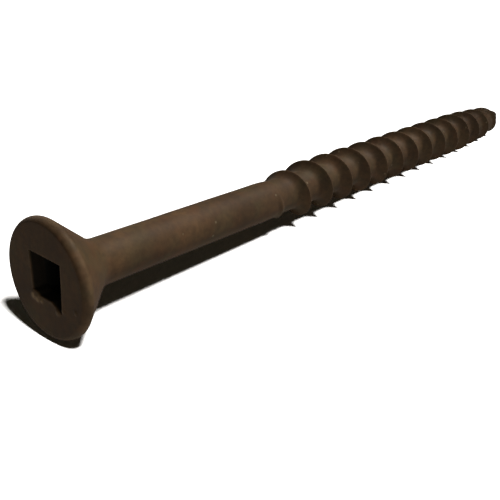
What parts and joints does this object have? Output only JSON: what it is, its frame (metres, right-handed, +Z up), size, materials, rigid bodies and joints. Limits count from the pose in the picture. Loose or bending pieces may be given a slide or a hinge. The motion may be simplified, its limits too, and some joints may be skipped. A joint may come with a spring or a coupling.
{
  "type": "square-drive deck screw",
  "caption": "Long countersunk wood screw with a square socket, plain upper shank, coarse single-start thread and a sharp point, with a brown coating.",
  "frame": {"origin": "centre of the flat face of the head, where the screw's axis meets it", "axes": "+X runs along the screw's axis from the head face to the tip; +Z is up as the screw lies; +Y completes the right-handed frame"},
  "size_m": [0.0762, 0.0086, 0.0086],
  "materials": {
    "coated_steel": "satin brown polymer coating over cold-formed steel"
  },
  "bodies": {
    "root": {"head": "coated_steel", "shank": "coated_steel", "threaded_core": "coated_steel", "thread": "coated_steel", "point": "coated_steel"}
  },
  "joints": []
}
